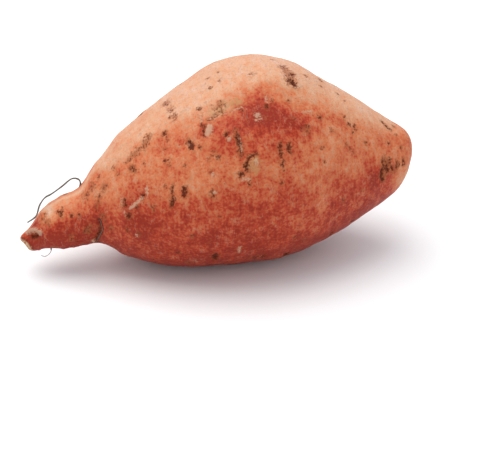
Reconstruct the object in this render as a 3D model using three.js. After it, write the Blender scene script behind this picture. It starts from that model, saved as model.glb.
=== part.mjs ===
// A whole sweet potato, washed and lying on its belly. The storage root grew as one piece: a
// humped body with a short neck whose tip snapped off at harvest, and a blunt crown end. A few
// dry hair roots still hang on the neck. Millimetres, +Z up, X along the root from the tip to
// the crown, origin on the resting surface under the middle of the object.
import * as THREE from "three";
import { mergeVertices } from "three/addons/utils/BufferGeometryUtils.js";

// How finely the skin is faceted: rows of faces along the root, and faces round each row.
const ROWS = 72;
const ROUND = 40;
// How thick the long hair root and the two fine ones are, and the gap they keep from the skin.
const HAIR = 0.8;
const FINE_HAIR = 0.5;
const GAP = 0.3;
// How far a flat facet of a hair root may dip below its curve.
const FACET_DIP = 0.2;
// Swells fade out towards the ends, where the root is slimmer than this half-width.
const FADE_WIDTH = 10;
// Copper-red skin, and hair roots that dried dark brown.
const SKIN_COLOUR = "#c4714f";
const HAIR_COLOUR = "#4a2a20";

// Rings along the storage root, from the snapped tip to the crown. x is the distance from the
// middle of the root, y and z place the ring's centre, z above the resting surface. wide and
// tall are the ring's half-width and half-height. lean is how far its top tips to the crown.
const RINGS = [
  { x: -86.0, y: -5.8, z: 14.4, wide: 0.0, tall: 0.0, lean: 0.0 },
  { x: -86.0, y: -5.8, z: 14.4, wide: 3.0, tall: 3.0, lean: -2.4 },
  { x: -83.0, y: -5.6, z: 15.6, wide: 5.0, tall: 4.6, lean: -1.2 },
  { x: -77.0, y: -5.1, z: 20.4, wide: 8.8, tall: 8.6, lean: 0.0 },
  { x: -69.0, y: -4.5, z: 22.5, wide: 12.0, tall: 11.6, lean: 0.0 },
  { x: -61.0, y: -3.9, z: 24.2, wide: 13.0, tall: 12.4, lean: 0.0 },
  { x: -53.0, y: -3.3, z: 29.6, wide: 17.0, tall: 16.6, lean: 0.0 },
  { x: -42.0, y: -2.6, z: 32.6, wide: 26.8, tall: 26.6, lean: 0.0 },
  { x: -28.0, y: -1.8, z: 35.0, wide: 35.5, tall: 34.0, lean: 0.0 },
  { x: -12.0, y: -1.0, z: 39.6, wide: 42.5, tall: 40.6, lean: 0.0 },
  { x: 4.0, y: -0.2, z: 43.6, wide: 46.0, tall: 45.0, lean: 0.0 },
  { x: 20.0, y: 0.4, z: 44.8, wide: 46.5, tall: 46.0, lean: 0.0 },
  { x: 36.0, y: 0.6, z: 44.0, wide: 42.5, tall: 42.2, lean: 0.0 },
  { x: 52.0, y: 0.3, z: 42.4, wide: 34.5, tall: 34.4, lean: 0.0 },
  { x: 66.0, y: -0.6, z: 41.4, wide: 26.4, tall: 26.0, lean: 0.5 },
  { x: 78.0, y: -2.0, z: 40.6, wide: 18.4, tall: 17.8, lean: 1.5 },
  { x: 84.0, y: -2.8, z: 40.6, wide: 13.6, tall: 13.2, lean: 2.5 },
  { x: 86.4, y: -3.0, z: 40.6, wide: 8.6, tall: 8.6, lean: 2.0 },
  { x: 87.0, y: -3.0, z: 40.6, wide: 0.0, tall: 0.0, lean: 0.0 },
];

// Swells, and hollows of negative height. x is along the root and turn goes round it, in
// degrees: 0 faces -Y and 90 faces up. long and round are how far each one reaches both ways.
const SWELLS = [
  // The hollow under the hump's crest, and the low ridge from it towards the crown.
  { x: 28, turn: 60, long: 15, round: 8, height: -1.3 },
  { x: 58, turn: 50, long: 18, round: 8, height: 0.7 },
  // The crease where the neck leaves the hump, and the puffed skin on both sides of it.
  { x: -56, turn: -12, long: 2.6, round: 9, height: -1.1 },
  { x: -62, turn: 20, long: 5, round: 8, height: 0.5 },
  { x: -38, turn: -5, long: 8, round: 12, height: 0.8 },
  // The far side: a shallow furrow along it, a swell below it, and a dent behind the neck.
  { x: 4, turn: 170, long: 30, round: 9, height: -1.6 },
  { x: -14, turn: 200, long: 16, round: 12, height: 1.0 },
  { x: 46, turn: 195, long: 14, round: 10, height: 0.9 },
  { x: -54, turn: 165, long: 5, round: 8, height: -1.2 },
];

const centres = new THREE.CatmullRomCurve3(
  RINGS.map(({ x, y, z }) => new THREE.Vector3(x, y, z)),
);
const sizes = new THREE.CatmullRomCurve3(
  RINGS.map(({ wide, tall, lean }) => new THREE.Vector3(wide, tall, lean)),
);

// How far the skin stands proud of its ring at x, at an angle round a ring of this radius.
function swelling(x, angle, radius) {
  let height = 0;
  for (const swell of SWELLS) {
    const turned = angle - THREE.MathUtils.degToRad(swell.turn);
    const along = (x - swell.x) / swell.long;
    const across = (2 * Math.sin(turned / 2) * radius) / swell.round;
    height += swell.height * Math.exp(-along * along - across * across);
  }
  return height;
}

// The skin at a share of the way from the tip to the crown and an angle round the root, in
// radians. lift raises the point off the skin.
function skin(share, angle, lift = 0) {
  const centre = centres.getPoint(share);
  const size = sizes.getPoint(share);
  const wide = Math.max(size.x, 0);
  const tall = Math.max(size.y, 0);
  const fade = Math.min(wide / FADE_WIDTH, 1);
  const proud = lift + fade * swelling(centre.x, angle, wide);
  return new THREE.Vector3(
    centre.x + size.z * Math.sin(angle),
    centre.y - (wide + proud) * Math.cos(angle),
    centre.z + (tall + proud) * Math.sin(angle),
  );
}

// The storage root: a ball whose poles are the tip and the crown, drawn out to the skin and
// pressed flat where it would pass below the resting surface.
function tuber() {
  const ball = new THREE.SphereGeometry(1, ROUND, ROWS);
  ball.deleteAttribute("normal");
  ball.deleteAttribute("uv");
  const geometry = mergeVertices(ball);
  const places = geometry.getAttribute("position");
  for (let i = 0; i < places.count; i += 1) {
    const share = Math.acos(THREE.MathUtils.clamp(-places.getY(i), -1, 1)) / Math.PI;
    const angle = Math.atan2(-places.getX(i), places.getZ(i));
    const place = skin(share, angle);
    places.setXYZ(i, place.x, place.y, Math.max(place.z, 0));
  }
  return geometry;
}

// A dry hair root: a thin wire of six flat sides along a curve through the given points.
function hairRoot(points, thickness, steps) {
  const section = new THREE.Shape();
  for (let side = 0; side < 6; side += 1) {
    const angle = (side * Math.PI) / 3;
    section.lineTo((thickness / 2) * Math.cos(angle), (thickness / 2) * Math.sin(angle));
  }
  const route = new THREE.CatmullRomCurve3(points);
  return new THREE.ExtrudeGeometry(section, { extrudePath: route, steps });
}

// The long one springs from the back of the neck, arches over it and reaches past the tip.
function hairRootOverNeck() {
  const points = [
    [-60.0, 1.5, 37.4],
    [-59.5, 2.0, 38.4],
    [-60.5, 2.5, 39.8],
    [-63.5, 2.0, 40.4],
    [-68.0, 0.5, 37.8],
    [-72.5, -1.5, 35.7],
    [-76.0, -3.5, 34.8],
    [-78.5, -5.5, 32.4],
    [-80.0, -7.0, 28.8],
    [-81.5, -7.5, 27.2],
    [-84.5, -8.0, 25.6],
  ];
  return hairRoot(points.map((point) => new THREE.Vector3(...point)), HAIR, 28);
}

// The short one hangs from the underside of the neck and curls back up beside the tip.
function hairRootUnderNeck() {
  const points = [
    [-74.6, -8.2, 11.7],
    [-74.8, -8.0, 10.4],
    [-75.8, -7.6, 8.8],
    [-77.6, -7.6, 8.0],
    [-79.2, -8.0, 9.0],
  ];
  return hairRoot(points.map((point) => new THREE.Vector3(...point)), FINE_HAIR, 12);
}

// The last one lies pressed into the crease, from the near side of the neck to under it.
function hairRootInCrease() {
  const lift = FINE_HAIR / 2 + GAP + FACET_DIP;
  const points = [
    [0.326, 2],
    [0.332, -15],
    [0.325, -34],
    [0.318, -56],
  ].map(([share, turn]) => skin(share, THREE.MathUtils.degToRad(turn), lift));
  return hairRoot(points, FINE_HAIR, 12);
}

function named(name, geometry, colour, roughness) {
  const material = new THREE.MeshStandardMaterial({ color: colour, roughness, metalness: 0 });
  const mesh = new THREE.Mesh(geometry, material);
  mesh.name = name;
  return mesh;
}

const sweetPotato = new THREE.Group();
sweetPotato.add(
  named("tuber", tuber(), SKIN_COLOUR, 0.6),
  named("hair_root_over_neck", hairRootOverNeck(), HAIR_COLOUR, 0.8),
  named("hair_root_under_neck", hairRootUnderNeck(), HAIR_COLOUR, 0.8),
  named("hair_root_in_crease", hairRootInCrease(), HAIR_COLOUR, 0.8),
);
export default sweetPotato;
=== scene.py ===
# %% [markdown]
# # A sweet potato, washed and lying on its belly
#
# A sweet potato is a storage root: one living piece with a thin copper-red skin, a slim end that
# snapped off at harvest and a blunt crown where the vine grew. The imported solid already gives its
# size and its swells, with flat facets. This lesson lays a fine skin over that solid, presses the
# small scars and wrinkles into it, and then builds a skin material and the dry hair roots.

import math

import bpy
import numpy as np
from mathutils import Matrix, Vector, noise
from mathutils.bvhtree import BVHTree


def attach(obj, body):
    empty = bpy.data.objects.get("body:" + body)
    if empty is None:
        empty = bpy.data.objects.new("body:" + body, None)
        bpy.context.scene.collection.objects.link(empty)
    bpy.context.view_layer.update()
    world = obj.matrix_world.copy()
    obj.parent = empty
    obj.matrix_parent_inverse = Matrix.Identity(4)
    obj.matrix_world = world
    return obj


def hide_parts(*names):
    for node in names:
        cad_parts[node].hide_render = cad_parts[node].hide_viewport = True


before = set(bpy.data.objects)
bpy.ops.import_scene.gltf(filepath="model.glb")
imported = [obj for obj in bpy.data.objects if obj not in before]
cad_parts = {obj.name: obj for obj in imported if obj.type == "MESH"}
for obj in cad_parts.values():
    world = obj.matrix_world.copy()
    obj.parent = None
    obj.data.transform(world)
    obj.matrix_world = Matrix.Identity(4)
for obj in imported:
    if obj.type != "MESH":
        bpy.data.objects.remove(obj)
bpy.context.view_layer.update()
MM = 0.001
print("packed pieces:", sorted(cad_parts))

# %% [markdown]
# ## Camera
#
# A long lens from a little above table height keeps both ends of the root in proportion. The
# camera could be dragged into place by hand. It is placed by its direction round the root, its
# angle above the table and its distance instead, because each can then be changed on its own.

# %% Camera
AZIMUTH = math.radians(-10)
ELEVATION = math.radians(27)
DISTANCE = 0.9
LENS = 147
AIM = Vector((0.0132, 0.0024, 0.0091))

back = Vector((
    math.sin(AZIMUTH) * math.cos(ELEVATION),
    -math.cos(AZIMUTH) * math.cos(ELEVATION),
    math.sin(ELEVATION),
))
camera = bpy.data.objects.new("camera", bpy.data.cameras.new("camera"))
camera.data.lens = LENS
camera.location = AIM + back * DISTANCE
camera.rotation_euler = (-back).to_track_quat("-Z", "Y").to_euler()
bpy.context.scene.collection.objects.link(camera)
bpy.context.scene.camera = camera
print("camera stands at", [round(place, 3) for place in camera.location])

# %% [markdown]
# ## Table and light
#
# The table is a white sweep. One wide soft box hangs over the root, a little behind it and to its
# left, so that the crest is bright, the near side falls into gentle shade and the shadow stays
# under the root. Its light is slightly warm, and a cool white room fills the shade. Several small
# lamps could do this too, but one wide one gives one soft shadow. The Standard view keeps the
# whites clean.

# %% Table
FLOOR_HALF = 4.0
WHITE = (0.9, 0.9, 0.9, 1)
PAPER_ROUGHNESS = 0.9

floor_mesh = bpy.data.meshes.new("floor")
floor_mesh.from_pydata(
    [(x * FLOOR_HALF, y * FLOOR_HALF, 0) for x, y in ((-1, -1), (1, -1), (1, 1), (-1, 1))],
    [],
    [(0, 1, 2, 3)],
)
floor = bpy.data.objects.new("floor", floor_mesh)
bpy.context.scene.collection.objects.link(floor)

paper = bpy.data.materials.new("white_paper")
paper.use_nodes = True
paper_shader = paper.node_tree.nodes["Principled BSDF"]
paper_shader.inputs["Base Color"].default_value = WHITE
paper_shader.inputs["Roughness"].default_value = PAPER_ROUGHNESS
floor_mesh.materials.append(paper)
print("table is", 2 * FLOOR_HALF, "m wide")

# %% [markdown]
# The light could come from a picture of a studio. An area lamp and a plain world need no file, and
# their size, place, power and colour are plain numbers.

# %% Light
BOX_SIDE = 1.4
BOX_PLACE = Vector((-0.25, 0.2, 1.2))
BOX_POWER = 13.5
BOX_COLOUR = (1, 0.98, 0.95)
ROOM_LIGHT = 0.88
ROOM_COLOUR = (0.92, 0.955, 1, 1)

soft_box = bpy.data.objects.new("soft_box", bpy.data.lights.new("soft_box", "AREA"))
soft_box.data.size = BOX_SIDE
soft_box.data.energy = BOX_POWER
soft_box.data.color = BOX_COLOUR
soft_box.location = BOX_PLACE
soft_box.rotation_euler = (-BOX_PLACE).to_track_quat("-Z", "Y").to_euler()
bpy.context.scene.collection.objects.link(soft_box)

room = bpy.data.worlds.new("white_room")
room.use_nodes = True
room.node_tree.nodes["Background"].inputs["Color"].default_value = ROOM_COLOUR
room.node_tree.nodes["Background"].inputs["Strength"].default_value = ROOM_LIGHT
bpy.context.scene.world = room
bpy.context.scene.view_settings.view_transform = "Standard"
print("soft box hangs at", [round(place, 2) for place in soft_box.location])

# %% [markdown]
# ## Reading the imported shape
#
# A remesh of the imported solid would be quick, but its faces would lie every way. A root is long
# and round, so a grid suits it better: rows along the root and columns round it. Each grid point
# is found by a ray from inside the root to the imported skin. In the body the rays start on the
# root's middle line. At the ends they fan out from a hub until they meet at a pole.

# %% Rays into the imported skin
TIP_HUB = -80.0
CROWN_HUB = 73.0
TIP_POLE = Vector((-86.0, -5.8, 14.4))
CROWN_POLE = Vector((87.0, -3.0, 40.6))
# A first guess at y and z of the middle line at the tip's hub.
HUB_GUESS = (-5.0, 18.0)

packed_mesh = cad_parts["tuber"].data
packed = BVHTree.FromPolygons(
    [corner.co / MM for corner in packed_mesh.vertices],
    [tuple(face.vertices) for face in packed_mesh.polygons],
)


def reach(start, way):
    """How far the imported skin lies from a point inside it, in millimetres."""
    return packed.ray_cast(start, way)[3]


def middle(x, guess):
    """The middle of the root at x, halfway between its walls."""
    place = Vector((x, *guess))
    for _ in range(2):
        for way in (Vector((0, 1, 0)), Vector((0, 0, 1))):
            place += way * (reach(place, way) - reach(place, -way)) / 2
    return place


middles = [middle(TIP_HUB, HUB_GUESS)]
for x in np.arange(TIP_HUB + 1, CROWN_HUB + 1):
    middles.append(middle(x, middles[-1][1:]))
line = np.array([TIP_POLE, *middles, CROWN_POLE])


def spine(x):
    """The point of the root's middle line at x."""
    return Vector((x, np.interp(x, line[:, 0], line[:, 1]), np.interp(x, line[:, 0], line[:, 2])))


print("middle line rises from", round(line[0, 2], 1), "to", round(line[:, 2].max(), 1), "mm")

# %% [markdown]
# ### A grid of rays
#
# Straight out from the middle line, the rays would miss the two ends. So the grid has three parts:
# a fan of rays at the tip, straight rays along the body, and a fan at the crown. The rows lie
# about two thirds of a millimetre apart, fine enough for a small scar to be real shape.

# %% A grid of rays
COLUMNS = 312
TIP_ROWS = 36
BODY_ROWS = 234
CROWN_ROWS = 46

# Column 0 runs under the belly, where the seam of the texture map is hidden.
turns = np.radians(-90 + 360 * np.arange(COLUMNS) / COLUMNS)
outward = np.stack([0 * turns, -np.cos(turns), np.sin(turns)], axis=1)


def fan(hub, pole, rows):
    """Starts and directions of rays that swing from a pole to straight out of its hub."""
    axis = np.array((pole - hub).normalized())
    swings = np.radians(np.linspace(90, 0, rows, endpoint=False))[:, None, None]
    return np.tile(hub, (rows, 1)), np.cos(swings) * outward + np.sin(swings) * axis


tip_starts, tip_ways = fan(spine(TIP_HUB), TIP_POLE, TIP_ROWS)
crown_starts, crown_ways = fan(spine(CROWN_HUB), CROWN_POLE, CROWN_ROWS)
body_starts = np.array([spine(x) for x in np.linspace(TIP_HUB, CROWN_HUB, BODY_ROWS)])
body_ways = np.tile(outward, (BODY_ROWS, 1, 1))
starts = np.concatenate([tip_starts, body_starts, crown_starts[::-1]])
ways = np.concatenate([tip_ways, body_ways, crown_ways[::-1]])
ways /= np.linalg.norm(ways, axis=2, keepdims=True)
ROWS = len(starts)

lengths = np.array([
    [reach(Vector(start), Vector(way)) for way in row] for start, row in zip(starts, ways)
])
print("rays cast:", lengths.size, "longest", round(lengths.max(), 1), "mm")

# %% [markdown]
# ## Smoothing away the facets
#
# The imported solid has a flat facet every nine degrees. A Gaussian blur of the ray lengths rounds
# them off without shrinking the root, which smoothing the points themselves would do. The blur
# wraps round the root, and at the poles it carries on down the other side.

# %% Smooth skin
BLUR_ROWS = 2.2
BLUR_COLUMNS = 4.0


def bell(spread):
    """The weights of a Gaussian blur."""
    steps = np.arange(-round(3 * spread), round(3 * spread) + 1)
    weights = np.exp(-0.5 * (steps / spread) ** 2)
    return steps, weights / weights.sum()


def blur(grid, rows, columns):
    """The grid blurred along and round the root."""
    steps, weights = bell(columns)
    grid = sum(weight * np.roll(grid, step, axis=1) for step, weight in zip(steps, weights))
    steps, weights = bell(rows)
    edge = steps[-1]
    over_tip = np.roll(grid[edge:0:-1], COLUMNS // 2, axis=1)
    over_crown = np.roll(grid[-2:-edge - 2:-1], COLUMNS // 2, axis=1)
    padded = np.concatenate([over_tip, grid, over_crown])
    return sum(weight * padded[edge + step:][:ROWS] for step, weight in zip(steps, weights))


def facing(points):
    """The outward direction at each grid point. Each pole takes its neighbours' average."""
    along = np.gradient(points, axis=0)
    around = np.roll(points, -1, axis=1) - np.roll(points, 1, axis=1)
    found = np.cross(along, around)
    found /= np.maximum(np.linalg.norm(found, axis=2, keepdims=True), 1e-9)
    for pole, neighbour in ((0, 1), (-1, -2)):
        average = found[neighbour].mean(axis=0)
        found[pole] = average / np.linalg.norm(average)
    return found


lengths = blur(lengths, BLUR_ROWS, BLUR_COLUMNS)
skin = starts[:, None] + lengths[:, :, None] * ways
normals = facing(skin)
proud = np.zeros((ROWS, COLUMNS))
print("grid of", ROWS, "rows and", COLUMNS, "columns")

# %% [markdown]
# ## Measuring on the skin
#
# Swells, scars and tones all need a place on the skin and a distance from it. A place is written as
# x along the root and a turn round it, because that is how a maker would point at it. The distance
# is straight through space, so a mark keeps its width where the root is slim.

# %% Measuring on the skin
FAR_AWAY = 99.0


def on_skin(x, turn):
    """The skin's point at x mm along the root and turn degrees round it: 0 faces -Y, 90 is up."""
    way = Vector((0, -math.cos(math.radians(turn)), math.sin(math.radians(turn))))
    start = spine(x)
    return np.array(start + way * reach(start, way))


def far_from(places):
    """How far each grid point is from the line through these places on the skin, in mm."""
    corners = [on_skin(*place) for place in places]
    nearest = np.full((ROWS, COLUMNS), FAR_AWAY)
    for start, end in zip(corners, corners[1:] or corners):
        run = end - start
        share = np.clip((skin - start) @ run / max(run @ run, 1e-9), 0, 1)
        gap = np.linalg.norm(skin - start - share[:, :, None] * run, axis=2)
        nearest = np.minimum(nearest, gap)
    return nearest


def soft_spot(spot):
    """1 in the middle of a spot on the skin, fading out as far as it reaches along and round."""
    apart = skin - on_skin(spot["x"], spot["turn"])
    along = apart[:, :, 0] / spot["long"]
    across = np.linalg.norm(apart[:, :, 1:], axis=2) / spot["round"]
    return np.exp(-along**2 - across**2)


def ramp(values, low, high):
    """Rises smoothly from 0 at low to 1 at high."""
    share = np.clip((values - low) / (high - low), 0, 1)
    return share * share * (3 - 2 * share)


print("crest lies at", [round(float(side), 1) for side in on_skin(20, 90)], "mm")

# %% [markdown]
# ## Swells, ridge and hollow
#
# The hump is not a plain ball: a low ridge runs along its shoulder, with a shallow hollow under it.
# Sculpting by hand would do, but the result could not be changed later. Soft spots of a given
# height and soft lines of a given width push the skin out or in.

# %% Swells, ridge and hollow
# Broad swells: x along the root, turn round it, how far each reaches both ways, and its height.
SWELLS = [
    {"x": -77, "turn": 85, "long": 8, "round": 8, "height": 0.8},
    {"x": -54, "turn": 92, "long": 5, "round": 12, "height": 1.1},
    {"x": -32, "turn": 92, "long": 16, "round": 20, "height": 0.6},
    {"x": -7, "turn": 92, "long": 7, "round": 18, "height": -0.5},
    {"x": 10, "turn": 92, "long": 8, "round": 20, "height": 0.5},
    {"x": 36, "turn": 90, "long": 13, "round": 20, "height": 1.2},
    {"x": 62, "turn": 90, "long": 14, "round": 14, "height": 0.8},
    {"x": 84, "turn": 75, "long": 4, "round": 8, "height": 0.8},
]
RIDGE = [(-48, 72), (-30, 71), (-12, 66), (4, 69), (30, 73), (44, 66), (62, 62)]
RIDGE_HEIGHT = 0.8
RIDGE_WIDTH = 7.0
HOLLOW = [(4, 52), (18, 54), (34, 50)]
HOLLOW_DEPTH = 0.8
HOLLOW_WIDTH = 9.0

for swell in SWELLS:
    proud += swell["height"] * soft_spot(swell)
proud += RIDGE_HEIGHT * np.exp(-((far_from(RIDGE) / RIDGE_WIDTH) ** 2))
proud -= HOLLOW_DEPTH * np.exp(-((far_from(HOLLOW) / HOLLOW_WIDTH) ** 2))
print("swells reach", round(np.abs(proud).max(), 2), "mm")

# %% [markdown]
# ## Lumps and wrinkles
#
# Soil presses on a root as it grows, so its skin is never even. A displacement texture could show
# it, but only in a render. Three layers of noise are added to the shape instead: broad lumps, small
# dents, and fine wrinkles that run round the root like those on a finger. The wrinkles come from
# noise that is stretched round the root, and they are deepest on the neck and towards the crown.

# %% Lumps and wrinkles
LUMPS = 0.45
DENTS = 0.22
WRINKLES = 0.1
NECK_WRINKLES = 0.32


def grain(cell, offset, stretch=1.0):
    """Noise between about -1 and 1. cell is its size along the root, in mm, and stretch draws it
    out round the root."""
    size = np.array([cell, cell * stretch, cell * stretch])
    places = (skin / size + offset).reshape(-1, 3)
    return np.array([noise.noise(place) for place in places]).reshape(ROWS, COLUMNS)


along_root = skin[:, :, 0]
neck = ramp(along_root, -84, -76) * ramp(-along_root, 44, 52)
crown_side = ramp(along_root, 5, 45)
proud += LUMPS * grain(17, 3.1) + DENTS * grain(6, 9.7)
proud += WRINKLES * (0.5 + 0.8 * crown_side) * grain(2.6, 5.3, stretch=6)
proud += NECK_WRINKLES * neck * grain(3.4, 1.9, stretch=3.5)
print("lumps and wrinkles reach", round(np.abs(proud).max(), 2), "mm")

# %% [markdown]
# ## Scars
#
# The skin carries small scars: pits where hair roots broke off, brown flecks of cork, cracks that
# healed, and cream scabs. Painting them as a texture would leave them flat. Here each one is a
# short line across the skin with a width. It presses the skin in or lifts it, and it writes how
# far inside the scar each point lies. The skin material later colours by that distance.

# %% How a scar is made
# How far from its outline a scar starts, and how far inside it is fully deep at most.
SCAR_START = -0.35
SCAR_SLOPE = 1.2
# How far outside a scar its rim runs, and how wide the rim is.
RIM_GAP = 0.75
RIM_WIDTH = 0.5
# Scars narrower than this are shallower.
FULL_WIDTH = 1.6
# Each kind of scar: the field that colours it, how far it stands proud in mm, and its rim.
KINDS = {
    "pit": {"field": "dark", "height": -0.8, "rim": 0.25},
    "dot": {"field": "dark", "height": -0.2, "rim": 0.05},
    "crack": {"field": "dark", "height": -0.7, "rim": 0.2},
    "flecks": {"field": "flecked", "height": -0.3, "rim": 0.12},
    "scab": {"field": "pale", "height": 0.25, "rim": -0.12},
    "streak": {"field": "pale", "height": 0.2, "rim": -0.1},
    "stain": {"field": "olive", "height": 0.06, "rim": 0.0},
}
OUTSIDE = -9.0
fields = {kind["field"]: np.full((ROWS, COLUMNS), OUTSIDE) for kind in KINDS.values()}
# Noise that makes a scar's outline uneven, in mm.
UNEVEN = 0.5
unevenness = UNEVEN * grain(1.7, 7.7)


def add_scar(kind, width, *places):
    """Writes one scar into its field and into the relief."""
    style = KINDS[kind]
    inside = width / 2 - far_from(places) + unevenness * min(width / 2, 1)
    field = fields[style["field"]]
    np.maximum(field, inside, out=field)
    relief = style["height"] * ramp(inside, SCAR_START, min(width / 2, SCAR_SLOPE))
    relief += style["rim"] * np.exp(-(((inside + RIM_GAP) / RIM_WIDTH) ** 2))
    proud[:] += relief * min(width / FULL_WIDTH, 1)


def add_scars(part, scars):
    """Adds every scar of one part of the root."""
    for scar in scars:
        add_scar(*scar)
    print("scars on the", part + ":", len(scars))


print("kinds of scar:", list(KINDS))

# %% [markdown]
# ### Scars on the near side
#
# The marks that are seen best are placed one by one, from the shoulder over the hump to the crown
# and back to the neck. Each row gives the kind, the width in millimetres, and the places the scar
# runs through: x along the root and turn round it.

# %% Scars on the shoulder and the upper side
SHOULDER_SCARS = [
    # The row of flecks and pits along the shoulder's edge.
    ("flecks", 3.0, (-33, 61), (-30, 67)),
    ("flecks", 2.8, (-40, 57), (-36, 61)),
    ("flecks", 3.6, (-39, 48)),
    ("dot", 1.2, (-39.3, 49.5)),
    ("dot", 1.3, (-38.4, 46.6)),
    ("dot", 1.1, (-34, 48)),
    ("dot", 1.1, (-46, 60)),
    ("pit", 1.9, (-24, 62)),
    ("dot", 0.8, (-26, 43), (-24, 42)),
    ("flecks", 3.4, (-21, 94), (-20.4, 90)),
    ("flecks", 3.2, (-20, 82), (-19.6, 79)),
    ("flecks", 3.0, (-20, 72), (-19, 70)),
    ("streak", 1.4, (-15.5, 70), (-14, 71)),
    # The hump's upper side.
    ("pit", 1.7, (-9, 65)),
    ("streak", 0.9, (-9, 56), (-9, 60.5)),
    ("dot", 1.1, (-9.5, 53.5)),
    ("flecks", 3.0, (-3, 60.5), (0, 61)),
    ("stain", 3.4, (-4, 58), (2, 60), (6, 59)),
    ("flecks", 1.6, (-6, 55), (0, 56)),
    ("streak", 0.5, (-6, 55.5), (1, 54.5), (8, 55.5)),
    ("pit", 1.4, (-3, 78)),
    ("dot", 1.1, (-3, 90)),
    ("streak", 0.6, (13, 73), (17, 77)),
    ("dot", 0.9, (15, 78)),
    ("flecks", 4.4, (30, 84), (31, 72)),
    ("pit", 2.0, (32.5, 78)),
    ("pit", 2.2, (31.6, 72), (32.6, 69)),
    ("dot", 1.2, (29.4, 71)),
]
add_scars("shoulder", SHOULDER_SCARS)

# %% [markdown]
# The hump's near side carries the largest marks: healed cracks that run round the root, a khaki
# stain with a dark edge, and scabs with a pale face.

# %% Scars on the hump's near side
HUMP_SCARS = [
    ("pit", 2.0, (-15.3, 47.4), (-14.6, 43)),
    ("scab", 1.2, (-15.7, 46.4), (-14.9, 44.4)),
    ("scab", 2.9, (-7.2, 47), (-6.4, 50)),
    ("crack", 0.8, (-9, 46), (-9.2, 49), (-8.2, 51.6)),
    ("pit", 2.0, (0, 41.8)),
    ("scab", 1.7, (0.8, 38.8)),
    ("flecks", 2.2, (-5.5, 34), (-4.5, 30.5)),
    ("dot", 1.0, (-8, 32)),
    ("scab", 1.6, (-7, 22)),
    ("dot", 0.9, (-7.6, 24)),
    ("scab", 1.5, (-6.6, 12)),
    ("crack", 0.7, (-8, 13.5), (-7.9, 11), (-6.8, 9.6)),
    ("flecks", 2.4, (4, 42), (4.5, 35), (5, 28)),
    ("pit", 1.2, (4.2, 39), (4.8, 34)),
    ("streak", 0.6, (4.8, 38), (5.6, 30)),
    ("stain", 5.6, (10, 21), (10.6, 23)),
    ("streak", 1.2, (11.6, 22), (11.2, 24)),
    ("crack", 1.1, (7.0, 19), (7.2, 23), (8.6, 26.4), (11.4, 27.4)),
    ("pit", 1.9, (6.8, 22)),
    ("pit", 2.2, (4.6, 18)),
    ("streak", 0.9, (4.6, 15.2), (8, 14.8)),
    ("dot", 1.3, (8, 12)),
    ("scab", 2.2, (14, 49)),
    ("streak", 0.8, (13, 46), (15.4, 46.6)),
    ("streak", 0.8, (18.8, 57), (19.2, 60)),
    ("pit", 1.7, (19, 53.6)),
    ("crack", 1.2, (22, 24.5), (22, 31)),
    ("pit", 1.8, (26, 27.6), (26, 30.6)),
    ("dot", 1.1, (23, 22)),
    ("dot", 1.0, (22.3, 20)),
    ("dot", 0.9, (23.2, 17.4)),
]
add_scars("hump", HUMP_SCARS)

# %% [markdown]
# Towards the crown the marks are small, apart from one rough patch of short cracks low on the side.

# %% Scars towards the crown
CROWN_SCARS = [
    ("pit", 1.9, (47, 88)),
    ("dot", 1.0, (46, 78)),
    ("dot", 1.4, (56, 105)),
    ("dot", 0.9, (54, 80)),
    ("streak", 1.1, (35, 52), (38.4, 53)),
    ("dot", 1.6, (42, 50)),
    ("flecks", 2.6, (35, 39), (35.6, 42)),
    ("flecks", 2.0, (47, 42)),
    ("dot", 1.2, (54, 55)),
    ("dot", 1.5, (56, 50)),
    ("dot", 1.2, (58.4, 50)),
    ("crack", 1.0, (73.6, 73), (76.2, 66)),
    ("dot", 1.0, (82, 95)),
    ("dot", 0.9, (81, 40)),
    ("flecks", 4.4, (71.4, 4), (72.6, 20)),
    ("crack", 1.3, (70.8, 0), (70.2, 6), (71, 11)),
    ("crack", 0.9, (71.8, 13), (71.2, 21)),
    ("crack", 1.2, (73.6, 8), (73, 14.5)),
    ("crack", 0.9, (74.4, 17), (75, 21)),
    ("crack", 1.3, (76.2, 7), (75.6, 13)),
    ("flecks", 2.0, (78, 10), (78.4, 18)),
    ("dot", 1.2, (78.8, 12)),
    ("dot", 0.9, (82, 14), (82, 22)),
]
add_scars("crown", CROWN_SCARS)

# %% [markdown]
# Where the body narrows to the neck, flecks and long pale streaks show how the skin stretched.

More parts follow.
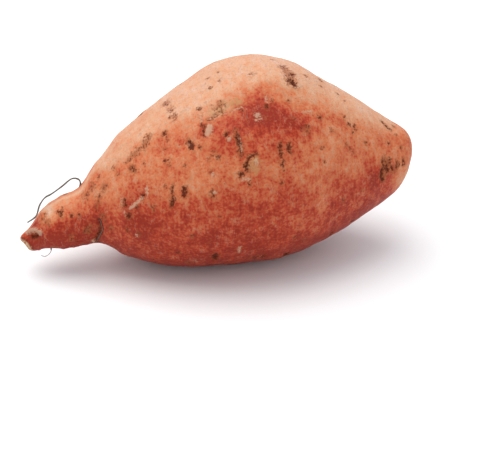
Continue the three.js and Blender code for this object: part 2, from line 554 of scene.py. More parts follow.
# %% Scars by the neck
NECK_SCARS = [
    ("flecks", 2.6, (-51, 44), (-50.6, 47)),
    ("flecks", 2.4, (-55.6, 66), (-55, 60)),
    ("flecks", 2.8, (-59, 64), (-58, 58)),
    ("flecks", 2.2, (-54, 30), (-53.6, 36)),
    ("pit", 1.5, (-43.2, 22)),
    ("pit", 1.5, (-43, 17.6)),
    ("streak", 0.7, (-44.4, 24), (-44.4, 18)),
    ("pit", 2.3, (-42, 7.4)),
    ("streak", 0.8, (-43.6, 12), (-43.4, 8)),
    ("streak", 1.5, (-41, 14.6), (-38.6, 18), (-36.4, 21)),
    ("pit", 1.3, (-35.6, 23)),
    ("streak", 1.3, (-34, 24), (-34, 28)),
    ("flecks", 2.4, (-32, 12)),
    ("crack", 0.9, (-24.5, 18), (-23.6, 24)),
    ("pit", 1.9, (-24.2, 12), (-23.8, 15.6)),
    ("pit", 1.9, (-19.3, 16), (-18.8, 20)),
    # The neck and the snapped end.
    ("flecks", 2.4, (-52, 4), (-52, 8)),
    ("flecks", 2.6, (-59, 354), (-57.6, 360)),
    ("flecks", 2.2, (-49, 350)),
    ("dot", 1.3, (-43, 352)),
    ("scab", 1.4, (-39, 348)),
    ("dot", 0.8, (-38.4, 351)),
    ("crack", 1.0, (-71, 55), (-69.6, 49), (-70, 43.6)),
    ("flecks", 1.8, (-76.6, 66), (-77.4, 58)),
    ("flecks", 2.4, (-76.4, 46), (-75.6, 40)),
    ("flecks", 2.0, (-66, 352)),
]
add_scars("neck", NECK_SCARS)

# %% [markdown]
# ### Scars on the rest of the skin
#
# The far side and the belly carry the same sorts of scar in places of their own. They are drawn
# with a seeded random generator, so that every run gives the same root. Tiny dots, where the skin
# breathes, lie all over it.

# %% Scars all round
FAR_SCARS = 90
TINY_DOTS = 150
draw = np.random.default_rng(17)
for _ in range(FAR_SCARS):
    x = draw.uniform(-74, 80)
    turn = draw.uniform(108, 326)
    kind = draw.choice(["pit", "flecks", "dot", "crack", "scab", "streak"])
    width = draw.uniform(0.9, 3.0) if kind in ("pit", "flecks", "scab") else draw.uniform(0.7, 1.3)
    drift = draw.uniform(-1.5, 1.5)
    rise = draw.uniform(1, 7)
    add_scar(str(kind), width, (x, turn), (x + drift, turn + rise))
for _ in range(TINY_DOTS):
    add_scar("dot", draw.uniform(0.5, 1.0), (draw.uniform(-72, 80), draw.uniform(0, 360)))
print("scars drawn at random:", FAR_SCARS, "and tiny dots:", TINY_DOTS)

# %% [markdown]
# ### Tones of the skin
#
# The skin is deep red low on its flanks, on the neck and in the hollow under the crest, copper in
# the middle, and pale on top. Part of this is the skin's own colour and part is painted light: the
# pale top is partly a painted sheen, and the deep red low down is partly painted shade and painted
# red bounce. A painted map could hold this. Here one tone per point stores it, from 0 for deep red
# to 1 for pale, because it can follow the shape: two steps up the flank by how steeply the skin
# climbs, deeper red towards the belly as painted shade, one even tone at the crown, and soft
# patches that shift it all.

# %% Tones
# The two steps, in degrees that the skin faces up, and the tone that each adds to the red.
LOW_STEP = (-2, 22)
HIGH_STEP = (50, 74)
RED_TONE = 0.16
COPPER_TONE = 0.23
# The pale top's tone: partly paler skin, partly a painted sheen.
PALE_TOP_AND_SHEEN_TONE = 0.42
# How much redder the belly is made: painted shade.
BELLY_SHADE = 0.1
CROWN_TONE = 0.45
CROWN_BLEND = (72, 88)
# How many degrees later the neck's side climbs its steps.
NECK_SHIFT = 24
# The blur that keeps small relief out of the tones.
TONE_BLUR = 5

sideways = np.abs(blur(normals[:, :, 1], TONE_BLUR, TONE_BLUR))
climb = np.degrees(np.arctan2(blur(normals[:, :, 2], TONE_BLUR, TONE_BLUR), sideways))
climb -= NECK_SHIFT * ramp(-along_root, 46, 56) * ramp(climb, -20, 20)
# Painted light: skin that faces up takes the paler tones, partly as a painted sheen, and skin that
# faces down takes the deeper red, partly as painted shade.
tone = RED_TONE + COPPER_TONE * ramp(climb, *LOW_STEP) + PALE_TOP_AND_SHEEN_TONE * ramp(climb, *HIGH_STEP)
tone -= BELLY_SHADE * ramp(-climb, 0, 45)
tone += (CROWN_TONE - tone) * ramp(along_root, *CROWN_BLEND)
print("steepest skin faces up by", round(float(climb.max())), "degrees")

# %% [markdown]
# No real skin keeps to such steps. The hollow is flushed red, the ridge over it is tan, the neck is
# redder below and rubbed pale on one knob, and the far side has patches of its own. A few patches
# are painted light: darker red under the neck, in the crease and at the tip as painted shade, and a
# paler patch on the crest as a painted sheen. Each is a soft spot that shifts the tone.

# %% Patches of tone
# Soft patches: x along the root, turn round it, how far each reaches both ways, and its shift.
PATCHES = [
    {"x": 13, "turn": 50, "long": 11, "round": 7, "shift": -0.36},
    {"x": 26, "turn": 44, "long": 12, "round": 9, "shift": -0.34},
    {"x": 2, "turn": 40, "long": 8, "round": 8, "shift": -0.2},
    {"x": 14, "turn": 65, "long": 12, "round": 6, "shift": -0.2},
    # Partly a painted sheen: a paler patch on the crest towards the crown.
    {"x": 27, "turn": 90, "long": 12, "round": 9, "shift": 0.08},
    {"x": -8, "turn": 50, "long": 4, "round": 4, "shift": -0.2},
    {"x": 18, "turn": 30, "long": 7, "round": 5, "shift": -0.14},
    {"x": -24, "turn": 61, "long": 13, "round": 5, "shift": -0.2},
    {"x": -46, "turn": 50, "long": 7, "round": 14, "shift": 0.18},
    {"x": -46, "turn": 86, "long": 10, "round": 12, "shift": -0.2},
    {"x": -30, "turn": 92, "long": 11, "round": 10, "shift": -0.12},
    {"x": -2, "turn": 57, "long": 8, "round": 4, "shift": 0.2},
    {"x": 46, "turn": 34, "long": 14, "round": 10, "shift": 0.08},
    {"x": 66, "turn": 50, "long": 11, "round": 11, "shift": 0.08},
    {"x": -14, "turn": 20, "long": 9, "round": 6, "shift": 0.06},
    {"x": -39, "turn": 15, "long": 13, "round": 9, "shift": -0.24},
    {"x": -65, "turn": 26, "long": 8, "round": 11, "shift": -0.08},
    {"x": -65, "turn": 86, "long": 8, "round": 9, "shift": 0.2},
    # Painted shade: darker red under the neck.
    {"x": -73, "turn": -34, "long": 12, "round": 8, "shift": -0.18},
    # Painted shade: darker in the crease at the neck.
    {"x": -54, "turn": -10, "long": 4, "round": 8, "shift": -0.1},
    {"x": -74.6, "turn": 64, "long": 2.6, "round": 5, "shift": 0.6},
    # Painted shade: the next two patches darken the tip by the lip and its hollow.
    {"x": -81, "turn": 84, "long": 4, "round": 6, "shift": -0.2},
    {"x": -81.5, "turn": 24, "long": 4, "round": 8, "shift": -0.2},
    {"x": 65, "turn": 12, "long": 6, "round": 7, "shift": -0.16},
    {"x": 82, "turn": -6, "long": 5, "round": 8, "shift": 0.3},
    {"x": 82, "turn": 30, "long": 4, "round": 6, "shift": -0.14},
    {"x": 8, "turn": 132, "long": 20, "round": 14, "shift": -0.2},
    {"x": -28, "turn": 150, "long": 12, "round": 10, "shift": -0.1},
    {"x": 52, "turn": 150, "long": 14, "round": 12, "shift": 0.12},
    {"x": 24, "turn": 196, "long": 16, "round": 12, "shift": -0.12},
    {"x": 40, "turn": -10, "long": 16, "round": 12, "shift": 0.1},
]

for patch in PATCHES:
    tone += patch["shift"] * soft_spot(patch)
fields["tone"] = tone
print("tone runs from", round(tone.min(), 2), "to", round(tone.max(), 2))

# %% [markdown]
# ## The crease at the neck
#
# Where the neck leaves the body the skin folds into a narrow crease on the near side, with a pale
# nub of a broken root below it. A cut would leave hard edges, so the crease is pressed in along a
# line, as a deeper and longer crack with a puffed lip. Its line is painted dark as well: painted
# shade in the fold.

# %% Crease and nub
CREASE = [(-54, 2), (-53.2, -15), (-54.6, -34), (-55.3, -56)]
CREASE_DEPTH = 1.1
CREASE_WIDTH = 1.3
CREASE_SHADE = 0.5
PUFF = 0.35
PUFF_GAP = 3.5
PUFF_WIDTH = 2
NUB = (-56, -42)
NUB_HEIGHT = 1.7
NUB_WIDTH = 1.0
NUB_PALE = 1.1

crease_gap = far_from(CREASE)
proud -= CREASE_DEPTH * np.exp(-((crease_gap / CREASE_WIDTH) ** 2))
proud += PUFF * np.exp(-(((crease_gap - PUFF_GAP) / PUFF_WIDTH) ** 2))
# Painted shade: the fold is coloured dark along the crease's line.
fields["dark"] = np.maximum(fields["dark"], CREASE_SHADE - crease_gap)
nub_gap = far_from([NUB])
proud += NUB_HEIGHT * np.exp(-((nub_gap / NUB_WIDTH) ** 2))
fields["pale"] = np.maximum(fields["pale"], NUB_PALE - nub_gap)
print("crease is", round(np.linalg.norm(on_skin(*CREASE[0]) - on_skin(*CREASE[-1])), 1), "mm long")

# %% [markdown]
# ## The snapped end
#
# The slim end broke off and dried. Beside its face a side root tore away and left a hollow under a
# pale lip. A cut with a second solid could make the hollow, but it would break the grid. The hollow
# and the lip are pressed and raised like the scars instead, and then all the relief is applied.

# %% Torn side root
SOCKET = [(-83, 38), (-81.2, 26)]
SOCKET_DEPTH = 1.6
SOCKET_WIDTH = 1.6
LIP = [(-84.2, 74), (-82.6, 64), (-80.6, 46), (-79.2, 26)]
LIP_HEIGHT = 1.1
LIP_WIDTH = 0.9
LIP_END_HEIGHT = 0.6
# How far the pale skin of the lip and the painted shade in the hollow reach.
LIP_PALE = 0.9
LIP_END_EXTRA = 0.4
SOCKET_SHADE = 0.8

socket_gap = far_from(SOCKET)
proud -= SOCKET_DEPTH * np.exp(-((socket_gap / SOCKET_WIDTH) ** 2))
lip_gap = far_from(LIP)
proud += LIP_HEIGHT * np.exp(-((lip_gap / LIP_WIDTH) ** 2))
end_gap = far_from(LIP[-1:])
proud += LIP_END_HEIGHT * np.exp(-((end_gap / LIP_WIDTH) ** 2))
lip_reach = LIP_PALE - np.minimum(lip_gap, end_gap - LIP_END_EXTRA)
fields["pale"] = np.maximum(fields["pale"], lip_reach)
# Painted shade: the hollow under the lip is coloured dark.
fields["dark"] = np.maximum(fields["dark"], SOCKET_SHADE - socket_gap)
skin += proud[:, :, None] * normals
print("deepest dent", round(-proud.min(), 2), "mm, highest lump", round(proud.max(), 2), "mm")

# %% [markdown]
# ### Snapped face and crown scar
#
# The snapped end is a small rough face of dry cork. It is made as a plane: every point beyond it is
# pushed back onto it, with a little noise, which keeps the grid whole where a cut would not. At the
# other end the vine left a round dished scar. One field tells how far inside the cork a point is.

# %% Snapped face and crown scar
SNAP_PLACE = np.array([-86.2, -6.8, 14.7])
SNAP_FACING = np.array([-0.76, -0.55, -0.35])
SNAP_ROUGHNESS = 0.25
CORK_CURL = 0.4
CROWN_SCAR = 4.2
CROWN_DISH = 1.2

snap_facing = SNAP_FACING / np.linalg.norm(SNAP_FACING)
beyond = (skin - SNAP_PLACE) @ snap_facing
rough = SNAP_ROUGHNESS * grain(1.3, 2.4)
skin -= (np.maximum(beyond, 0) - np.where(beyond > 0, rough, 0))[:, :, None] * snap_facing
crown_gap = np.linalg.norm(skin - np.array(CROWN_POLE), axis=2)
skin -= (CROWN_DISH * ramp(-crown_gap, -CROWN_SCAR, -CROWN_SCAR / 3))[:, :, None] * normals
snapped = np.where(beyond > 0, beyond + CORK_CURL, beyond)
fields["cork"] = np.maximum(snapped, CROWN_SCAR - crown_gap)
print("points on the snapped face:", int((beyond > 0).sum()))

# %% [markdown]
# ## From grid to mesh
#
# The grid becomes quads, with a fan of triangles and one point at each pole. The belly is pressed
# flat where the root rests, a tenth of a millimetre above the table. Every field of scars and tones
# goes onto the mesh as a value per point, where the skin material can read it.

# %% Build the mesh
REST = 0.1

skin[:, :, 2] = np.maximum(skin[:, :, 2], REST)


def one_per_point(grid):
    """A grid's values in the order of the mesh's points: the rings, then the two poles."""
    return np.concatenate([grid[1:-1].reshape(-1, *grid.shape[2:]), grid[[0, -1], 0]])


points = one_per_point(skin)
rings = np.arange((ROWS - 2) * COLUMNS).reshape(ROWS - 2, COLUMNS)
tip, crown = len(points) - 2, len(points) - 1
following = np.roll(rings, -1, axis=1)
quads = np.stack([rings[:-1], rings[1:], following[1:], following[:-1]], axis=-1).reshape(-1, 4)
tip_fan = [(tip, a, b) for a, b in zip(rings[0], following[0])]
crown_fan = [(crown, b, a) for a, b in zip(rings[-1], following[-1])]
faces = [*map(tuple, quads.tolist()), *tip_fan, *crown_fan]

root_mesh = bpy.data.meshes.new("sweet_potato")
root_mesh.from_pydata((points * MM).tolist(), [], faces)
root_mesh.shade_smooth()
for name, grid in fields.items():
    attribute = root_mesh.attributes.new(name, "FLOAT", "POINT")
    attribute.data.foreach_set("value", one_per_point(grid).astype(np.float32))
print("skin:", len(points), "points and", len(faces), "faces, with fields", list(fields))

# %% [markdown]
# ### Texture map
#
# An automatic unwrap would cut the skin into islands. The grid already knows how far round and how
# far along every point lies, so these two shares are the map. A thin edge stays free all round it.

# %% Texture map
MAP_EDGE = 0.004

# How far along the root each row lies, as a share of the whole, measured over the skin.
steps = np.linalg.norm(np.diff(skin, axis=0), axis=2).mean(axis=1)
share_along = np.concatenate([[0], np.cumsum(steps)]) / steps.sum()
share_round = np.arange(COLUMNS + 1) / COLUMNS
quad_columns = np.tile(np.arange(COLUMNS), ROWS - 3)
quad_rows = np.repeat(np.arange(1, ROWS - 2), COLUMNS)
quad_u = np.stack([share_round[quad_columns + step] for step in (0, 0, 1, 1)], axis=1)
quad_v = np.stack([share_along[quad_rows + step] for step in (0, 1, 1, 0)], axis=1)
half = 0.5 / COLUMNS
tip_u = np.stack([share_round[:-1] + half, share_round[:-1], share_round[1:]], axis=1)
tip_v = np.tile([0, share_along[1], share_along[1]], (COLUMNS, 1))
crown_u = np.stack([share_round[:-1] + half, share_round[1:], share_round[:-1]], axis=1)
crown_v = np.tile([1, share_along[-2], share_along[-2]], (COLUMNS, 1))
map_u = np.concatenate([quad_u.ravel(), tip_u.ravel(), crown_u.ravel()])
map_v = np.concatenate([quad_v.ravel(), tip_v.ravel(), crown_v.ravel()])
map_points = MAP_EDGE + (1 - 2 * MAP_EDGE) * np.stack([map_u, map_v], axis=1)
texture_map = root_mesh.uv_layers.new(name="OFBake")
texture_map.data.foreach_set("uv", map_points.astype(np.float32).ravel())

root = bpy.data.objects.new("sweet_potato", root_mesh)
bpy.context.scene.collection.objects.link(root)
print("skin measured along the root:", round(steps.sum(), 1), "mm")

# %% [markdown]
# ## Shader groups
#
# Three effects come back in several places, so each is a node group with named sockets: soft
# mottling at any scale, a ragged mask from a scar's distance, and a scatter of specks. They could
# be drawn by hand in the node editor. A few short helpers build them here, so that each effect
# reads like a sum. They work in millimetres, on the place of each point of the skin.

# %% Node helpers


def put(tree, kind, inputs=(), **settings):
    """Adds a shader node. inputs are pairs of a socket and a value or a socket that feeds it."""
    made = tree.nodes.new("ShaderNode" + kind)
    for name, value in settings.items():
        setattr(made, name, value)
    for socket, value in inputs:
        if isinstance(value, bpy.types.NodeSocket):
            tree.links.new(value, made.inputs[socket])
        else:
            made.inputs[socket].default_value = value
    return made


def maths(tree, operation, *values):
    """A Math node's result."""
    return put(tree, "Math", enumerate(values), operation=operation).outputs[0]


def mix(tree, share, first, second):
    """Two colours mixed."""
    return put(tree, "Mix", [(0, share), (6, first), (7, second)], data_type="RGBA").outputs[2]


def new_group(name, inputs, output):
    """An empty node group with float and vector inputs and one float output."""
    group = bpy.data.node_groups.new(name, "ShaderNodeTree")
    for socket, value in inputs.items():
        kind = "NodeSocketVector" if value is None else "NodeSocketFloat"
        made = group.interface.new_socket(socket, in_out="INPUT", socket_type=kind)
        if value is not None:
            made.default_value = value
    group.interface.new_socket(output, in_out="OUTPUT", socket_type="NodeSocketFloat")
    return group, group.nodes.new("NodeGroupInput").outputs


def end_group(group, value):
    """Feeds the group's output."""
    group.links.new(value, group.nodes.new("NodeGroupOutput").inputs[0])


def use(tree, group, **inputs):
    """Places a group and gives its output. Socket names are written with _ for spaces."""
    made = tree.nodes.new("ShaderNodeGroup")
    made.node_tree = group
    for name, value in inputs.items():
        socket = made.inputs[name.replace("_", " ")]
        if isinstance(value, bpy.types.NodeSocket):
            tree.links.new(value, socket)
        else:
            socket.default_value = value
    return made.outputs[0]


print("shader helpers: put, maths, mix, new_group, end_group, use")

# %% [markdown]
# ### Mottle
#
# Skin and dried root are never one even colour. Noise with a size in millimetres gives clouds at
# any scale, Stretch draws them out round the root, and Contrast spreads them over black and white.

# %% Mottle group
mottle, sockets = new_group(
    "mottle", {"Place": None, "Size": 5.0, "Stretch": 1.0, "Detail": 3.0, "Contrast": 1.0}, "Mask"
)
across = maths(mottle, "MULTIPLY", sockets["Size"], sockets["Stretch"])
cell = put(mottle, "CombineXYZ", [(0, sockets["Size"]), (1, across), (2, across)]).outputs[0]
scaled = put(mottle, "VectorMath", [(0, sockets["Place"]), (1, cell)], operation="DIVIDE").outputs[0]
cloud = put(mottle, "TexNoise", [("Vector", scaled), ("Scale", 1.0), ("Detail", sockets["Detail"])])
centred = maths(mottle, "SUBTRACT", cloud.outputs["Fac"], 0.5)
stretched = maths(mottle, "MULTIPLY_ADD", centred, sockets["Contrast"], 0.5)
end_group(mottle, put(mottle, "Clamp", [(0, stretched)]).outputs[0])
print("mottle takes:", [socket.name for socket in sockets if socket.name])

# %% [markdown]
# ### Ragged mask
#
# A scar's edge frays. The mesh says how far inside a scar each point lies, and this group adds
# noise to that distance before it turns it into a mask, so that no edge is a clean line.

# %% Ragged mask group
ragged, sockets = new_group(
    "ragged_mask", {"Place": None, "Inside": 0.0, "Grain": 1.0, "Raggedness": 0.5, "Softness": 0.2},
    "Mask",
)
fray = use(ragged, mottle, Place=sockets["Place"], Size=sockets["Grain"], Detail=3.0, Contrast=3.0)
fray = maths(ragged, "SUBTRACT", fray, 0.5)
reached = maths(ragged, "MULTIPLY_ADD", fray, sockets["Raggedness"], sockets["Inside"])
below = maths(ragged, "MULTIPLY", sockets["Softness"], -1.0)
edge = put(
    ragged, "MapRange", [("Value", reached), ("From Min", below), ("From Max", sockets["Softness"])],
    interpolation_type="SMOOTHSTEP",
)
end_group(ragged, edge.outputs[0])
print("ragged mask takes:", [socket.name for socket in sockets if socket.name])

# %% [markdown]
# ### Specks
#
# The skin breathes through pores, which show as scattered dark specks. A Voronoi texture gives one
# centre per cell, and the mask is a soft round spot on each.

# %% Specks group
specks, sockets = new_group("specks", {"Place": None, "Spacing": 3.0, "Radius": 0.5}, "Mask")
scaled = put(
    specks, "VectorMath", [(0, sockets["Place"]), (1, sockets["Spacing"])], operation="DIVIDE"
).outputs[0]
cells = put(specks, "TexVoronoi", [("Vector", scaled), ("Scale", 1.0)])
gap = maths(specks, "MULTIPLY", cells.outputs["Distance"], sockets["Spacing"])
fade = put(
    specks, "MapRange", [("Value", gap), ("From Min", sockets["Radius"]), ("From Max", 0.0)],
    interpolation_type="SMOOTHSTEP",
)
end_group(specks, fade.outputs[0])
print("node groups:", [group.name for group in bpy.data.node_groups])

# %% [markdown]
# ## Skin
#
# The skin is thin, dry and nearly matte. Copper red and tan mix in clouds of several sizes, and
# fine streaks run round the root. One colour ramp could be enough on flat noise. Here the tone
# that the mesh holds sets the middle of the ramp at each point and four noises move it, so that
# the flanks stay red and the top stays pale, with painted shade low down and a painted sheen on top.

# %% Skin material
# The skin's colours from the deepest red to the pale top, and the tone at which each sits.
# The pink-grey at the top end is partly a painted sheen.
TONES = [
    (0.0, (0.27, 0.02, 0.007, 1)),
    (0.18, (0.42, 0.047, 0.017, 1)),
    (0.45, (0.58, 0.17, 0.068, 1)),
    (0.78, (0.63, 0.325, 0.185, 1)),
    (1.0, (0.64, 0.385, 0.28, 1)),
]
KHAKI = (0.32, 0.09, 0.03, 1)
OLIVE = (0.44, 0.24, 0.1, 1)
CREAM = (0.56, 0.35, 0.235, 1)
BROWN = (0.1, 0.013, 0.003, 1)
CORK = (0.5, 0.33, 0.19, 1)

skin_look = bpy.data.materials.new("copper_red_skin")
skin_look.use_nodes = True
tree = skin_look.node_tree
shader = tree.nodes["Principled BSDF"]
place = put(tree, "TexCoord").outputs["Object"]
place = put(tree, "VectorMath", [(0, place), ("Scale", 1 / MM)], operation="SCALE").outputs[0]


def field(name):
    """The value that the mesh holds under this name."""
    return put(tree, "Attribute", attribute_name=name).outputs["Fac"]


def between(value, low, high):
    """Rises smoothly from 0 at low to 1 at high."""
    inputs = [("Value", value), ("From Min", low), ("From Max", high)]
    return put(tree, "MapRange", inputs, interpolation_type="SMOOTHSTEP").outputs[0]


clouds = use(tree, mottle, Place=place, Size=11.0, Detail=6.0, Contrast=1.5)
patches = use(tree, mottle, Place=place, Size=3.4, Detail=5.0, Contrast=1.6)
streaks = use(tree, mottle, Place=place, Size=1.4, Stretch=6.0, Detail=4.0, Contrast=1.7)
freckles = use(tree, mottle, Place=place, Size=1.1, Detail=4.0, Contrast=2.0)

shade = field("tone")
for effect, strength in ((clouds, 0.3), (patches, 0.4), (streaks, 0.18), (freckles, 0.36)):
    shade = maths(tree, "ADD", shade, maths(tree, "MULTIPLY_ADD", effect, strength, -strength / 2))
tone_ramp = put(tree, "ValToRGB", [(0, shade)])
stops = tone_ramp.color_ramp.elements
for tone_here, _ in TONES[1:-1]:
    stops.new(tone_here)
for stop, (_, tint) in zip(stops, TONES):
    stop.color = tint
colour = tone_ramp.outputs[0]
print("colour stops:", len(stops))

# %% [markdown]
# ### Scurf
#
# As the skin dries it flakes into pale hair-fine lines, and soil stays in it as brown freckles. The
# lines are where a stretched noise crosses its middle value, and only on the paler patches.

# %% Scurf
SCURF_LINE = 0.035
SCURF_STRENGTH = 0.3
SOIL_STRENGTH = 0.36

wrinkles = use(tree, mottle, Place=place, Size=1.8, Stretch=3.5, Detail=4.0, Contrast=1.0)
line_gap = maths(tree, "ABSOLUTE", maths(tree, "SUBTRACT", wrinkles, 0.5))
scurf = maths(tree, "MULTIPLY", between(line_gap, SCURF_LINE, 0.0), between(patches, 0.42, 0.7))
colour = mix(tree, maths(tree, "MULTIPLY", scurf, SCURF_STRENGTH), colour, CREAM)
soil = maths(tree, "MULTIPLY", between(freckles, 0.56, 0.8), SOIL_STRENGTH)
colour = mix(tree, soil, colour, KHAKI)
print("nodes so far:", len(tree.nodes))

# %% [markdown]
# ### Scars on the skin
#
# Each field of scars becomes ragged masks: a soft halo in khaki first, and a sharper core in brown
# or cream over it, as dried cork fades into live skin. The stain goes under them all, and the dark
# cores go on last. The dark field also holds the painted shade of the crease and of the hollow at
# the tip, so the halo and dark coats paint that shade as well.

# %% Masks of the scars
# Each mask: the field it reads, the size of its frays in mm, how ragged it is and how soft.
MASKS = {
    "olive": ("olive", 2.0, 3.0, 1.4),
    "pale": ("pale", 0.8, 1.1, 0.5),
    "pale_edge": ("pale", 1.4, 2.0, 0.9),
    "dark": ("dark", 0.9, 1.5, 0.7),
    "halo": ("dark", 1.8, 2.2, 1.6),
    "flecked": ("flecked", 1.3, 2.2, 1.3),
    "cork": ("cork", 1.0, 0.9, 0.2),
    "cork_rim": ("cork", 1.6, 1.6, 1.1),
}
masks = {}
for name, (source, frays, raggedness, softness) in MASKS.items():
    masks[name] = use(
        tree, ragged, Place=place, Inside=field(source),
        Grain=frays, Raggedness=raggedness, Softness=softness,
    )
breaks = use(tree, mottle, Place=place, Size=0.75, Stretch=1.6, Detail=2.0, Contrast=2.5)
masks["flecks"] = maths(tree, "MULTIPLY", masks["flecked"], between(breaks, 0.48, 0.85))
masks["pores"] = use(tree, specks, Place=place, Spacing=3.2, Radius=0.5)
print("masks:", list(masks))

# %% [markdown]
# The masks lie over each other like thin coats of paint. A strength under 1 lets the skin's own
# mottling show through each coat.

# %% Colours of the scars
# Each coat, in order: its mask, its strength and its colour.
flaky_cork = mix(tree, between(breaks, 0.35, 0.75), CORK, KHAKI)
COATS = [
    ("olive", 0.6, OLIVE),
    ("pale_edge", 0.5, KHAKI),
    ("halo", 0.75, KHAKI),
    ("flecked", 0.7, KHAKI),
    ("pores", 0.35, BROWN),
    ("pale", 0.66, CREAM),
    ("cork_rim", 1.0, BROWN),
    ("cork", 1.0, flaky_cork),
    ("flecks", 0.85, BROWN),
    # The dark coat also paints shade into the crease and the hollow at the tip.
    ("dark", 0.93, BROWN),
]
for name, strength, tint in COATS:
    colour = mix(tree, maths(tree, "MULTIPLY", masks[name], strength), colour, tint)
tree.links.new(colour, shader.inputs["Base Color"])
print("nodes in the skin:", len(tree.nodes))

# %% [markdown]
# ### Finish of the skin
#
# The skin shines very little, less on the patches and least on the dark scars. What is too fine for
# the mesh, such as the streaks, the freckles and the pores, goes into a bump a fraction of a
# millimetre deep. A sheen was left out, because it would turn the skin grey in so white a room.

# %% Finish of the skin
SKIN_GLOSS = 0.15
SKIN_ROUGHNESS = 0.44
PATCH_ROUGHNESS = 0.14
SCAR_ROUGHNESS = 0.25
BUMP_DEPTH = 0.3
BUMP_STRENGTH = 0.8

roughness = maths(tree, "MULTIPLY_ADD", patches, PATCH_ROUGHNESS, SKIN_ROUGHNESS)
roughness = maths(tree, "MULTIPLY_ADD", masks["dark"], SCAR_ROUGHNESS, roughness)
tree.links.new(roughness, shader.inputs["Roughness"])
shader.inputs["Specular IOR Level"].default_value = SKIN_GLOSS

height = maths(tree, "MULTIPLY", streaks, 0.5)
for effect, strength in ((patches, 0.8), (freckles, 0.5), (scurf, 0.4)):
    height = maths(tree, "MULTIPLY_ADD", effect, strength, height)
for name, strength in (("pores", -0.5), ("flecks", -0.7), ("dark", -0.8)):
    height = maths(tree, "MULTIPLY_ADD", masks[name], strength, height)
bump = put(tree, "Bump", [("Height", height), ("Distance", BUMP_DEPTH * MM)])
bump.inputs["Strength"].default_value = BUMP_STRENGTH
tree.links.new(bump.outputs[0], shader.inputs["Normal"])
root_mesh.materials.append(skin_look)
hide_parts("tuber")
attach(root, "root")
print("skin's bump is", BUMP_DEPTH, "mm deep")

# %% [markdown]
# ## Hair roots
#
# Thin roots once drank through this skin, and three dried ones are left. A curve with a bevel would
# make an even wire. A dried root is thick and dark at its base, thins to a grey thread and is
# knotty all along, so a helper makes the tube ring by ring along a smooth curve.

# %% Hair helper
SIDES = 10
PER_SPAN = 8
# How much a root's thickness wavers, how often, and how thin its very end is.
KNOT = 0.12
KNOTS = 37
END_SHARE = 0.4


def smooth_line(corners):
    """Points on a Catmull-Rom curve through the corners."""
    padded = np.array([2 * corners[0] - corners[1], *corners, 2 * corners[-1] - corners[-2]])
    found = []
    for a, b, c, d in zip(padded, padded[1:], padded[2:], padded[3:]):
        for t in np.arange(PER_SPAN) / PER_SPAN:
            found.append(0.5 * (
                2 * b + (c - a) * t + (2 * a - 5 * b + 4 * c - d) * t**2
                + (3 * b - a - 3 * c + d) * t**3
            ))
    return np.array([*found, padded[-2]])


def hair_root(name, corners, base, thread, fade):
    """A tapered tube. base and thread are its radii in mm, and fade is how much of its length it
    takes to thin from one to the other."""
    path = smooth_line([np.array(corner, float) for corner in corners])
    share = np.linspace(0, 1, len(path))
    radii = thread + (base - thread) * (1 - ramp(share, 0, fade))
    radii *= 1 + KNOT * np.sin(share * KNOTS)
    radii[-1] *= END_SHARE
    ways = np.gradient(path, axis=0)
    side = np.cross(ways[0], (0.3, 1, 0.2))
    points = []
    for spot, way, radius in zip(path, ways, radii):
        way = way / np.linalg.norm(way)
        side = side - way * (side @ way)
        side /= np.linalg.norm(side)
        other = np.cross(way, side)
        for turn in 2 * np.pi * np.arange(SIDES) / SIDES:
            points.append(spot + radius * (math.cos(turn) * side + math.sin(turn) * other))
    faces = []
    for ring in range(len(path) - 1):
        for k in range(SIDES):
            low = ring * SIDES + k
            high = ring * SIDES + (k + 1) % SIDES
            faces.append((low, high, high + SIDES, low + SIDES))
    faces.append(tuple(range(SIDES))[::-1])
    faces.append(tuple(range(len(points) - SIDES, len(points))))
    mesh = bpy.data.meshes.new(name)
    mesh.from_pydata((np.array(points) * MM).tolist(), [], faces)
    mesh.shade_smooth()
    age = mesh.attributes.new("thread", "FLOAT", "POINT")
    age.data.foreach_set("value", np.repeat(ramp(share, 0, fade), SIDES).astype(np.float32))
    hair = bpy.data.objects.new(name, mesh)
    bpy.context.scene.collection.objects.link(hair)
    return hair


print("a hair root has", SIDES, "sides")

# %% [markdown]
# ### The three hair roots
#
# The long one arches over the neck and reaches past the tip. The short one hangs under the neck and
# ends in a curled thread. The last lies in the crease and follows it. Each starts under the skin,
# so that it grows out of it.

# %% The three hair roots
OVER_NECK = [
    (-60, 1, 35.2), (-59.6, 2, 38), (-60.5, 2.5, 39.8), (-63.5, 2, 40.4), (-68, 0.5, 37.8),
    (-72.5, -1.5, 35.7), (-76, -3.5, 34.8), (-78.5, -5.5, 32.4), (-80, -7, 28.8),
    (-81.5, -7.5, 27.2), (-84.5, -8, 25.6),
]
UNDER_NECK = [
    (-74.6, -8.2, 13.4), (-74.6, -8.2, 11.7), (-74.8, -8, 10.4), (-75.8, -7.6, 8.8),
    (-77.6, -7.6, 8), (-79.2, -8, 9),
]
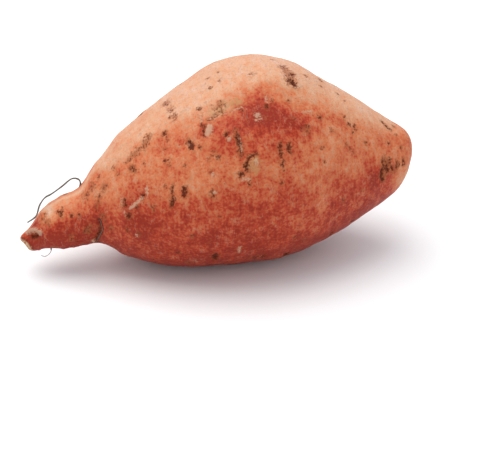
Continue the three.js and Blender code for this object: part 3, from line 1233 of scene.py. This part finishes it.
# The one in the crease lies this far beside its middle and this far out of the skin.
BESIDE = 0.5
OUT = (0, -0.2, 0)
BURIED = (0, 1, 0)
in_crease = [on_skin(*CREASE[0]) + BURIED]
in_crease += [on_skin(x + BESIDE, turn) + OUT for x, turn in CREASE]
hair_roots = [
    hair_root("long_hair_root", OVER_NECK, 0.6, 0.36, 0.16),
    hair_root("short_hair_root", UNDER_NECK, 0.5, 0.13, 0.4),
    hair_root("crease_hair_root", in_crease, 0.22, 0.18, 0.5),
]
print("hair roots:", [hair.name for hair in hair_roots])

# %% [markdown]
# ### Dried root
#
# A dried hair root is dark brown at the base and greyer where it thins, with fine fibres. The tube
# helper wrote on the mesh how thin it has become, and the mottle group adds the fibres.

# %% Hair root material
DARK_ROOT = (0.03, 0.018, 0.013, 1)
GREY_ROOT = (0.22, 0.17, 0.13, 1)
THREAD_GREY = 0.4
FIBRE_GREY = 0.25
FIBRE_DEPTH = 0.1
hair_look = bpy.data.materials.new("dry_hair_root")
hair_look.use_nodes = True
tree = hair_look.node_tree
shader = tree.nodes["Principled BSDF"]
place = put(tree, "TexCoord").outputs["Object"]
place = put(tree, "VectorMath", [(0, place), ("Scale", 1 / MM)], operation="SCALE").outputs[0]
fibres = use(tree, mottle, Place=place, Size=0.7, Detail=3.0, Contrast=2.0)
drying = maths(tree, "MULTIPLY", field("thread"), THREAD_GREY)
drying = maths(tree, "MULTIPLY_ADD", fibres, FIBRE_GREY, drying)
tree.links.new(mix(tree, drying, DARK_ROOT, GREY_ROOT), shader.inputs["Base Color"])
tree.links.new(maths(tree, "MULTIPLY_ADD", fibres, 0.2, 0.6), shader.inputs["Roughness"])
bump = put(tree, "Bump", [("Height", fibres), ("Distance", FIBRE_DEPTH * MM)])
tree.links.new(bump.outputs[0], shader.inputs["Normal"])
NODES = ["hair_root_over_neck", "hair_root_under_neck", "hair_root_in_crease"]
for hair, node in zip(hair_roots, NODES):
    hair.data.materials.append(hair_look)
    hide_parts(node)
    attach(hair, "root")
print("hair root nodes:", len(tree.nodes))
